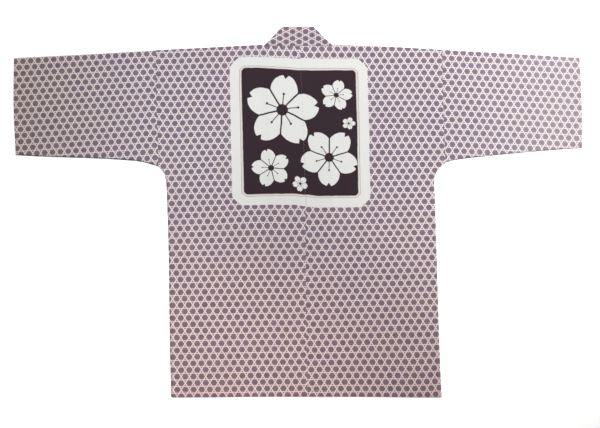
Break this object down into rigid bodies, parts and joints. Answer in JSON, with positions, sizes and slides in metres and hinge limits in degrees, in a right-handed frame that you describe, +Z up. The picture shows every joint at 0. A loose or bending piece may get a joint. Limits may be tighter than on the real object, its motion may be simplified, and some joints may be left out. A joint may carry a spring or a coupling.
{
  "type": "happi coat",
  "caption": "Straight-cut open cotton coat laid flat with its back up: wide tube sleeves, a long folded collar band and a square dyed panel on the upper back.",
  "frame": {"origin": "on the surface that the coat lies on, under the middle of its outline", "axes": "+X along the sleeves towards the wearer's right cuff, +Y from the hem towards the collar, +Z up out of the back of the coat"},
  "size_m": [1.304, 0.8524, 0.0059],
  "materials": {
    "dyed_cotton": "plain-woven cotton, mauve-grey with a pale basket-weave lattice, matt",
    "collar_cotton": "the same cotton doubled into a band, lattice turned a quarter, matt"
  },
  "bodies": {
    "root": {"body_left": "dyed_cotton", "body_right": "dyed_cotton", "sleeve_left": "dyed_cotton", "sleeve_right": "dyed_cotton", "collar": "collar_cotton"}
  },
  "joints": []
}
